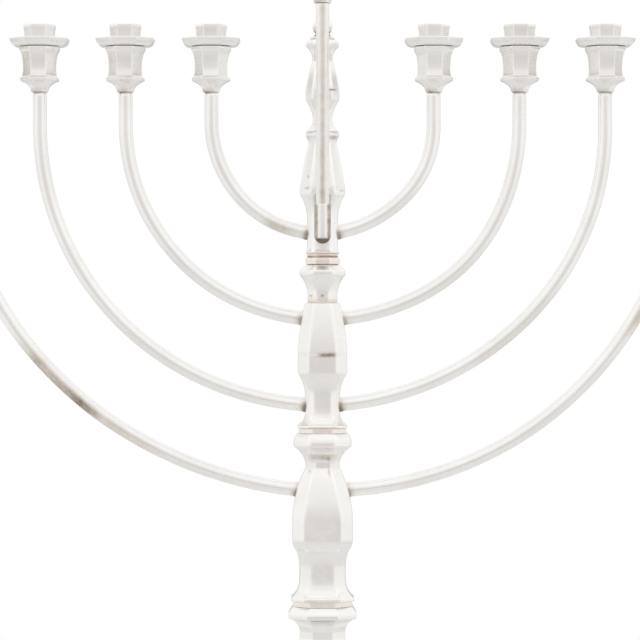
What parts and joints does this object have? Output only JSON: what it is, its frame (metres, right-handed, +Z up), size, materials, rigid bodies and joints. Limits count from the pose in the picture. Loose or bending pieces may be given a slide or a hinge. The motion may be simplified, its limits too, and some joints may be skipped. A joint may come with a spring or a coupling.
{
  "type": "menorah",
  "caption": "Branched festival candle stand: faceted baluster stem, concentric curved arms, octagonal cups with drip pans, a lift-out servant light and a stepped octagonal foot.",
  "frame": {"origin": "on the table, under the stem's axis", "axes": "+Z up, +X along the arms to the right, front faces -Y"},
  "size_m": [0.371, 0.15, 0.3855],
  "materials": {
    "silver": "hand-polished silver plate, warm tarnish in the hollows",
    "nozzle_silver": "polished silver plate with faint wax bloom",
    "joint_ring": "worn plate, copper showing through",
    "plate_silver": "satin silver plate",
    "steel": "plain drawn steel",
    "felt": "napped wool felt"
  },
  "bodies": {
    "stand": {"felt_pad": "felt", "bottom_plate": "plate_silver", "base_shell": "silver", "base_neck": "silver", "tie_rod": "steel", "tie_rod_washer": "steel", "tie_rod_nut": "steel", "lower_ring": "joint_ring", "lower_baluster": "silver", "middle_ring": "joint_ring", "middle_baluster": "silver", "upper_ring": "joint_ring", "upper_baluster": "silver", "top_knop": "silver", "finial": "silver", "arm_left_1": "silver", "arm_left_2": "silver", "arm_left_3": "silver", "arm_left_4": "silver", "arm_right_1": "silver", "arm_right_2": "silver", "arm_right_3": "silver", "arm_right_4": "silver", "cup_left_1": "silver", "cup_left_2": "silver", "cup_left_3": "silver", "cup_left_4": "silver", "cup_right_1": "silver", "cup_right_2": "silver", "cup_right_3": "silver", "cup_right_4": "silver", "servant_socket": "silver", "servant_bracket": "silver"},
    "servant_light": {"servant_rod": "silver", "cup_servant": "silver"},
    "servant_nozzle": {"nozzle_servant": "nozzle_silver"},
    "nozzle_left_1": {"nozzle_left_1": "nozzle_silver"},
    "nozzle_left_2": {"nozzle_left_2": "nozzle_silver"},
    "nozzle_left_3": {"nozzle_left_3": "nozzle_silver"},
    "nozzle_left_4": {"nozzle_left_4": "nozzle_silver"},
    "nozzle_right_1": {"nozzle_right_1": "nozzle_silver"},
    "nozzle_right_2": {"nozzle_right_2": "nozzle_silver"},
    "nozzle_right_3": {"nozzle_right_3": "nozzle_silver"},
    "nozzle_right_4": {"nozzle_right_4": "nozzle_silver"}
  },
  "joints": [
    {"name": "servant_light_lift", "type": "slide", "parent": "stand", "child": "servant_light", "axis": [0, 0, 1], "range_m": [0, 0.05]},
    {"name": "servant_nozzle_lift", "type": "slide", "parent": "servant_light", "child": "servant_nozzle", "axis": [0, 0, 1], "range_m": [0, 0.02]},
    {"name": "nozzle_left_1_lift", "type": "slide", "parent": "stand", "child": "nozzle_left_1", "axis": [0, 0, 1], "range_m": [0, 0.02]},
    {"name": "nozzle_left_2_lift", "type": "slide", "parent": "stand", "child": "nozzle_left_2", "axis": [0, 0, 1], "range_m": [0, 0.02]},
    {"name": "nozzle_left_3_lift", "type": "slide", "parent": "stand", "child": "nozzle_left_3", "axis": [0, 0, 1], "range_m": [0, 0.02]},
    {"name": "nozzle_left_4_lift", "type": "slide", "parent": "stand", "child": "nozzle_left_4", "axis": [0, 0, 1], "range_m": [0, 0.02]},
    {"name": "nozzle_right_1_lift", "type": "slide", "parent": "stand", "child": "nozzle_right_1", "axis": [0, 0, 1], "range_m": [0, 0.02]},
    {"name": "nozzle_right_2_lift", "type": "slide", "parent": "stand", "child": "nozzle_right_2", "axis": [0, 0, 1], "range_m": [0, 0.02]},
    {"name": "nozzle_right_3_lift", "type": "slide", "parent": "stand", "child": "nozzle_right_3", "axis": [0, 0, 1], "range_m": [0, 0.02]},
    {"name": "nozzle_right_4_lift", "type": "slide", "parent": "stand", "child": "nozzle_right_4", "axis": [0, 0, 1], "range_m": [0, 0.02]}
  ]
}
